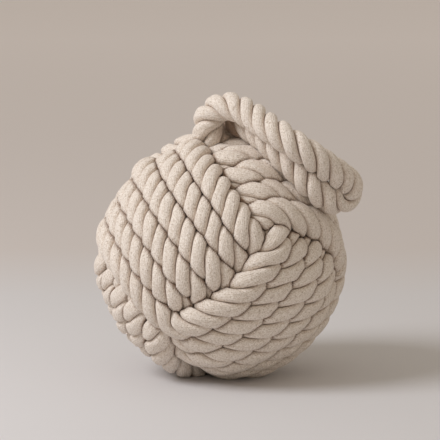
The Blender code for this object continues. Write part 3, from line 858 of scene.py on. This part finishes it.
def yarn_places(rope, order):
    """Where each face corner of a piece lies on the pattern of yarns, in yarn widths: across the
    yarns, which climb round each strand, and along the rope. Both end faces come last."""
    _, _, way = rope["outline"]
    here = np.arange(STRANDS * POINTS_PER_STRAND)[None, :]
    strand = here // POINTS_PER_STRAND
    rim = here % POINTS_PER_STRAND
    at_here = way[rim] / YARN_WIDTH + strand * STRAND_SHIFT
    at_after = way[rim + 1] / YARN_WIDTH + strand * STRAND_SHIFT
    step = rope["length"] / len(rope["axis"])
    rise = (order[:-1] * step / YARN_WIDTH)[:, None]
    next_rise = (order[1:] * step / YARN_WIDTH)[:, None]
    corners = ((at_here, rise), (at_after, rise), (at_after, next_rise), (at_here, next_rise))
    across = np.stack([at + YARN_CLIMB * up for at, up in corners], axis=2)
    along = np.stack([up * np.ones_like(at) for at, up in corners], axis=2)
    places = np.stack([across, along], axis=3).reshape(-1, 2)
    return np.concatenate([places, np.zeros((2 * here.size, 2))])


def lay_rope(name, rope, first, last, material):
    """One piece of the rope from ring to ring, closed at both ends, with its yarns mapped."""
    order = np.arange(first, last + 1)
    wrapped = order % len(rope["rings"])
    rings = rope["rings"][wrapped]
    count = rings.shape[1]
    start = np.arange(len(order) - 1)[:, None] * count
    here = np.arange(count)[None, :]
    after = (here + 1) % count
    corners = (start + here, start + after, start + count + after, start + count + here)
    faces = np.stack(corners, axis=2).reshape(-1, 4).tolist()
    faces.append(list(range(count))[::-1])
    faces.append([(len(order) - 1) * count + place for place in range(count)])
    mesh = bpy.data.meshes.new(name)
    mesh.from_pydata(rings.reshape(-1, 3).tolist(), [], faces)
    layer = mesh.uv_layers.new(name="yarns")
    layer.data.foreach_set("uv", yarn_places(rope, order).astype(np.float32).ravel())
    # each point's painted shade, which browns its colour
    painted_shade = mesh.attributes.new("painted_shade", "FLOAT", "POINT")
    painted_shade.data.foreach_set("value", rope["painted_shade"][wrapped].astype(np.float32).ravel())
    mesh.materials.append(material)
    mesh.shade_smooth()
    mesh.set_sharp_from_angle(angle=math.radians(CUT_EDGE_ANGLE))
    piece = bpy.data.objects.new(name, mesh)
    bpy.context.scene.collection.objects.link(piece)
    return piece


def carry_rope(piece, name, first_ring, last_ring):
    """A turn rides on the knot and the loop on the handle. A neck is baked where it lies, with no
    bending.
    """
    if name.startswith("rope_turn"):
        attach(piece, "knot")
    elif name == "handle_loop":
        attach(piece, "handle")
    else:
        root, tip = first_ring.mean(axis=0), last_ring.mean(axis=0)
        if name == "handle_neck_back":
            root, tip = tip, root
        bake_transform(piece)


def make_rope():
    """The whole rope, in one laid piece for each of its solids."""
    points, place, marks = settled_rope()
    rope = laid_rope(points @ KNOT_AXES.T + CENTRE, place, marks)
    rope["rings"], rope["painted_shade"] = rope_surface(rope)
    count = len(rope["rings"])
    cuts = cut_stations(marks)
    spots = [int(np.searchsorted(rope["stations"], cut)) for cut in cuts]
    spots.append(count + spots[0])
    names = ["handle_neck_back"]
    names += ["rope_turn_%02d" % (number + 1) for number in range(len(cuts) - HANDLE_PARTS)]
    names += ["handle_neck_front", "handle_loop"]
    material = cotton_rope()
    for name, first, last in zip(names, spots, spots[1:]):
        piece = lay_rope("laid_" + name, rope, first, last, material)
        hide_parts(name)
        carry_rope(piece, name, rope["rings"][first], rope["rings"][last % count])


def map_threads(mesh):
    """Threads in two directions over the bag: round it, and from pole to pole."""
    layer = mesh.uv_layers.new(name="threads")
    for loop in mesh.loops:
        spot = mesh.vertices[loop.vertex_index].co - Vector(CENTRE_OF_BALL)
        layer.data[loop.index].uv = (spot.x / CANVAS_THREAD_HALF,
                                     (spot.y + spot.z) / CANVAS_THREAD_HALF)


def make_bag():
    """The sewn bag that the knot is tied round: two bowls of canvas joined by a seam that its
    stitches pull in."""
    middle = Vector(CENTRE_OF_BALL)
    bag_radius = radius_of_bag()
    bpy.ops.object.select_all(action="DESELECT")
    bpy.ops.mesh.primitive_uv_sphere_add(segments=BAG_SEGMENTS, ring_count=BAG_RINGS,
                                         radius=bag_radius, location=CENTRE_OF_BALL)
    bag = bpy.context.object
    bag.name = "sand_bag"
    bpy.ops.object.transform_apply(location=True, rotation=True, scale=True)
    for corner in bag.data.vertices:
        out = corner.co - middle
        nearness = max(0.0, 1.0 - abs(out.z) / SEAM_HALF_WIDTH)
        in_stitch = math.cos(STITCHES * math.atan2(out.y, out.x))
        pull = SEAM_EVENNESS + (1.0 - SEAM_EVENNESS) * in_stitch
        corner.co = middle + out * (1.0 - SEAM_DEPTH * nearness * pull / bag_radius)
    bag.data.shade_smooth()
    map_threads(bag.data)
    bag.data.materials.append(cotton_canvas())
    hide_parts("bag_half_lower", "bag_half_upper")
    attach(bag, "knot")


def make_stitches():
    """Slanting stitches across the bag's seam, each an oval of thread that is partly sunk in."""
    middle = Vector(CENTRE_OF_BALL)
    reach = radius_of_bag() - SEAM_DEPTH * STITCH_SINK
    bpy.ops.object.select_all(action="DESELECT")
    bpy.ops.mesh.primitive_uv_sphere_add(segments=STITCH_SEGMENTS, ring_count=STITCH_RINGS,
                                         radius=THREAD_THICKNESS / 2.0, location=(0.0, 0.0, 0.0))
    stitch = bpy.context.object
    shape = [corner.co.copy() for corner in stitch.data.vertices]
    faces = [list(face.vertices) for face in stitch.data.polygons]
    bpy.data.objects.remove(stitch)
    verts = []
    joined = []
    for number in range(STITCHES):
        turn = 2.0 * math.pi * (number + 0.5) / STITCHES
        out = Vector((math.cos(turn), math.sin(turn), 0.0))
        across = Vector((-math.sin(turn), math.cos(turn), 0.0))
        start = len(verts)
        for spot in shape:
            up = spot.z * STITCH_LENGTH / THREAD_THICKNESS
            verts.append(middle + out * (reach + spot.x)
                         + across * (spot.y + STITCH_LEAN * up) + Vector((0.0, 0.0, up)))
        joined += [[start + corner for corner in face] for face in faces]
    mesh = bpy.data.meshes.new("seam_stitches")
    mesh.from_pydata(verts, [], joined)
    mesh.shade_smooth()
    mesh.materials.append(waxed_thread())
    stitches = bpy.data.objects.new("seam_stitches", mesh)
    bpy.context.scene.collection.objects.link(stitches)
    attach(stitches, "knot")


def dress_sand():
    """The sand keeps its solid's shape and gets its own material."""
    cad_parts["sand_fill"].material_slots[0].material = dry_sand()


def make_camera():
    """The photograph's view: the ball's centre lies where the photograph shows it."""
    data = bpy.data.cameras.new("photo_camera")
    width = PICTURE_SIZE * METRES_PER_PIXEL
    data.lens = data.sensor_width / 2.0 / (width / 2.0 / CAMERA_DISTANCE)
    camera = bpy.data.objects.new("photo_camera", data)
    bpy.context.scene.collection.objects.link(camera)
    elevation = math.radians(CAMERA_ELEVATION)
    toward = Vector((0.0, -math.cos(elevation), math.sin(elevation)))
    camera.location = Vector(CENTRE_OF_BALL) + toward * CAMERA_DISTANCE
    below = (BALL_ROW - PICTURE_SIZE / 2.0) * METRES_PER_PIXEL / CAMERA_DISTANCE
    pitch = elevation - math.atan(below)
    camera.rotation_euler = (math.pi / 2.0 - pitch, 0.0, 0.0)
    bpy.context.scene.camera = camera


def make_floor():
    """A wide sheet of pale paper under the ball."""
    bpy.ops.object.select_all(action="DESELECT")
    bpy.ops.mesh.primitive_plane_add(size=FLOOR_SIZE, location=(0.0, 0.0, 0.0))
    floor = bpy.context.object
    floor.name = "floor"
    floor.data.materials.append(pale_floor())


def make_light():
    """Soft light from all round, and a window's light from the upper left."""
    world = bpy.data.worlds.new("studio")
    bpy.context.scene.world = world
    world.use_nodes = True
    background = world.node_tree.nodes["Background"]
    background.inputs["Color"].default_value = linear("F4EADC")
    background.inputs["Strength"].default_value = WORLD_STRENGTH
    data = bpy.data.lights.new("window", "AREA")
    data.shape = "DISK"
    data.size = LAMP_SIZE
    data.energy = LAMP_WATTS
    data.color = linear("F5F8FF")[:3]
    lamp = bpy.data.objects.new("window", data)
    lamp.location = LAMP_PLACE
    to_ball = Vector(CENTRE_OF_BALL) - lamp.location
    lamp.rotation_euler = to_ball.to_track_quat("-Z", "Y").to_euler()
    bpy.context.scene.collection.objects.link(lamp)


make_camera()
make_rope()
make_bag()
make_stitches()
dress_sand()
make_floor()
make_light()
bpy.context.scene.view_settings.view_transform = "Standard"
